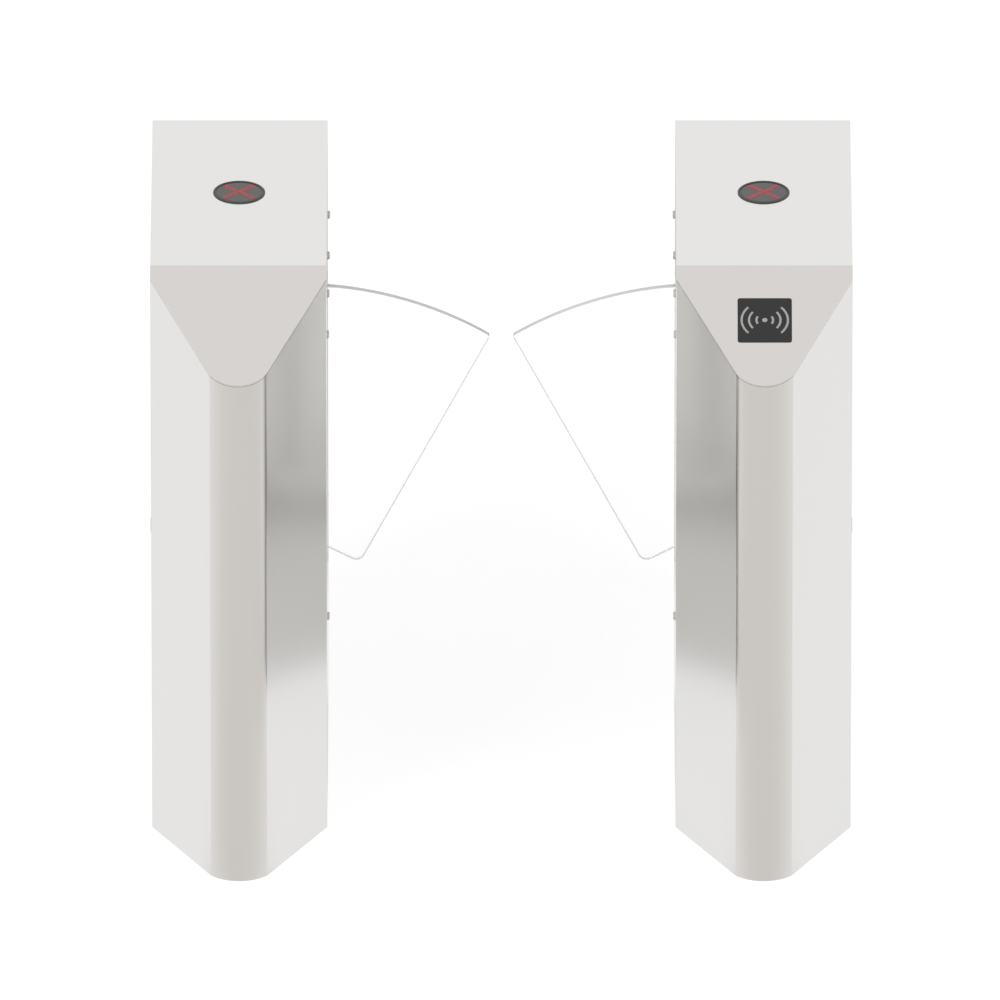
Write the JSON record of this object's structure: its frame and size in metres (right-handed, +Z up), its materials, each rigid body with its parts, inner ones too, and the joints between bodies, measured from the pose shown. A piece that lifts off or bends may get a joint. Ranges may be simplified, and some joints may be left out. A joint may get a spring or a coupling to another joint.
{
  "type": "flap barrier turnstile",
  "caption": "Flap barrier turnstile lane of facing sheet-steel pedestals with tapered ends and sloped tops, clear retracting wings on geared drives, card reader, indicators and side doors.",
  "frame": {"origin": "floor level, at the centre of the lane between the two pedestals", "axes": "+X across the lane to the pedestal with the reader, +Y along the passage away from the front, +Z up"},
  "size_m": [1.119, 0.99, 0.982],
  "materials": {
    "brushed_steel": "satin brushed stainless sheet",
    "zinc_steel": "zinc-plated steel",
    "machined_steel": "machined steel",
    "cast_housing": "painted cast iron",
    "motor_paint": "black paint",
    "aluminium_case": "bare sheet",
    "clear_acrylic": "clear, polished",
    "black_rubber": "matt",
    "dark_plastic": "fine satin",
    "smoked_lens": "gloss",
    "red_light": "gloss",
    "sensor_grey": "satin",
    "circuit_board": "solder mask",
    "lock_chrome": "bright"
  },
  "bodies": {
    "cabinets": {"left_base_plate": "zinc_steel", "left_base_rim": "zinc_steel", "left_front_end": "brushed_steel", "left_rear_end": "brushed_steel", "left_lane_panel": "brushed_steel", "left_outer_panel": "brushed_steel", "left_top_cover": "brushed_steel", "left_slot_trim": "sensor_grey", "left_indicator_bezel": "dark_plastic", "left_indicator_lens": "smoked_lens", "left_indicator_cross": "red_light", "left_drive_frame": "zinc_steel", "left_gear_motor": "motor_paint", "left_power_supply": "aluminium_case", "left_control_board": "circuit_board", "left_door_brackets": "zinc_steel", "right_base_plate": "zinc_steel", "right_base_rim": "zinc_steel", "right_front_end": "brushed_steel", "right_rear_end": "brushed_steel", "right_lane_panel": "brushed_steel", "right_outer_panel": "brushed_steel", "right_top_cover": "brushed_steel", "right_slot_trim": "sensor_grey", "right_indicator_bezel": "dark_plastic", "right_indicator_lens": "smoked_lens", "right_indicator_cross": "red_light", "right_drive_frame": "zinc_steel", "right_gear_motor": "motor_paint", "right_power_supply": "aluminium_case", "right_control_board": "circuit_board", "right_door_brackets": "zinc_steel", "reader_window": "smoked_lens", "reader_module": "dark_plastic", "sensor_bezels": "sensor_grey", "sensor_eyes": "smoked_lens", "bearing_units": "cast_housing", "stop_buffers": "black_rubber", "lamp_housings": "dark_plastic", "equipment_plates": "zinc_steel"},
    "left_wing": {"left_wing_panel": "clear_acrylic", "left_wing_hub": "machined_steel", "left_clamp_plates": "machined_steel", "left_clamp_bolts": "machined_steel", "left_wing_shaft": "machined_steel", "left_sector_gear": "machined_steel"},
    "left_pinion": {"left_pinion": "machined_steel"},
    "left_door": {"left_access_door": "brushed_steel", "left_lock_housing": "lock_chrome"},
    "left_lock": {"left_lock_cylinder": "lock_chrome"},
    "right_wing": {"right_wing_panel": "clear_acrylic", "right_wing_hub": "machined_steel", "right_clamp_plates": "machined_steel", "right_clamp_bolts": "machined_steel", "right_wing_shaft": "machined_steel", "right_sector_gear": "machined_steel"},
    "right_pinion": {"right_pinion": "machined_steel"},
    "right_door": {"right_access_door": "brushed_steel", "right_lock_housing": "lock_chrome"},
    "right_lock": {"right_lock_cylinder": "lock_chrome"}
  },
  "joints": [
    {"name": "left_wing_swing", "type": "hinge", "parent": "cabinets", "child": "left_wing", "pos_m": [-0.328, 0, 0.237], "axis": [0, -1, 0], "range_deg": [0, 27.5]},
    {"name": "left_pinion_spin", "type": "hinge", "parent": "cabinets", "child": "left_pinion", "pos_m": [-0.427, 0, 0.237], "axis": [0, 1, 0], "range_deg": [0, 73.34]},
    {"name": "left_door_swing", "type": "hinge", "parent": "cabinets", "child": "left_door", "pos_m": [-0.549, 0.195, 0.4825], "axis": [0, 0, -1], "range_deg": [0, 100]},
    {"name": "left_lock_turn", "type": "hinge", "parent": "left_door", "child": "left_lock", "pos_m": [-0.558, -0.187, 0.4825], "axis": [-1, 0, 0], "range_deg": [0, 90]},
    {"name": "right_wing_swing", "type": "hinge", "parent": "cabinets", "child": "right_wing", "pos_m": [0.328, 0, 0.237], "axis": [0, 1, 0], "range_deg": [0, 27.5]},
    {"name": "right_pinion_spin", "type": "hinge", "parent": "cabinets", "child": "right_pinion", "pos_m": [0.427, 0, 0.237], "axis": [0, -1, 0], "range_deg": [0, 73.34]},
    {"name": "right_door_swing", "type": "hinge", "parent": "cabinets", "child": "right_door", "pos_m": [0.549, 0.195, 0.4825], "axis": [0, 0, 1], "range_deg": [0, 100]},
    {"name": "right_lock_turn", "type": "hinge", "parent": "right_door", "child": "right_lock", "pos_m": [0.558, -0.187, 0.4825], "axis": [-1, 0, 0], "range_deg": [0, 90]}
  ],
  "couplings": [
    {"joint": "left_pinion_spin", "follows": "left_wing_swing", "ratio": 2.6667},
    {"joint": "right_pinion_spin", "follows": "right_wing_swing", "ratio": 2.6667}
  ]
}
